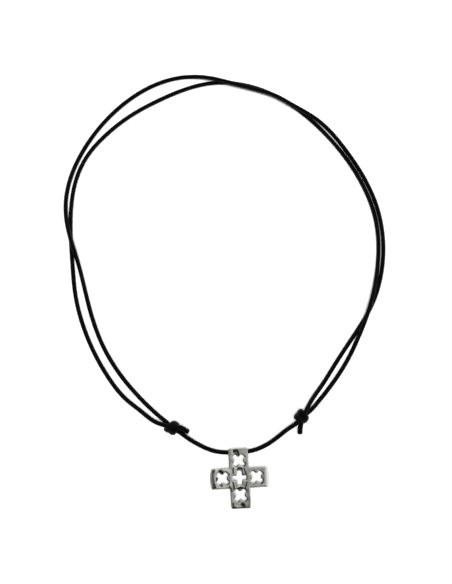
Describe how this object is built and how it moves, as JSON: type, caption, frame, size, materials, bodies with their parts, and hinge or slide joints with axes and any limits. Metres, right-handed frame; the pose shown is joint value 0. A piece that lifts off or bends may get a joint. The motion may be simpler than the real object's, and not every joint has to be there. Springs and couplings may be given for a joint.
{
  "type": "cross pendant necklace",
  "caption": "Pierced cast metal cross with diagonal and upright cut-outs on a round black cord, tied into an adjustable loop with sliding knots.",
  "frame": {"origin": "centre of the cross on its flat back, on the surface that the necklace lies on", "axes": "+X to the right of the cross, +Y along its upright towards the cord's loop, +Z out of its front"},
  "size_m": [0.1536, 0.2152, 0.0064],
  "materials": {
    "silver": "polished cast",
    "cord": "lightly waxed"
  },
  "bodies": {
    "root": {"cross_pendant": "silver", "right_strand": "cord", "left_strand": "cord", "left_knot": "cord", "right_knot": "cord"}
  },
  "joints": []
}
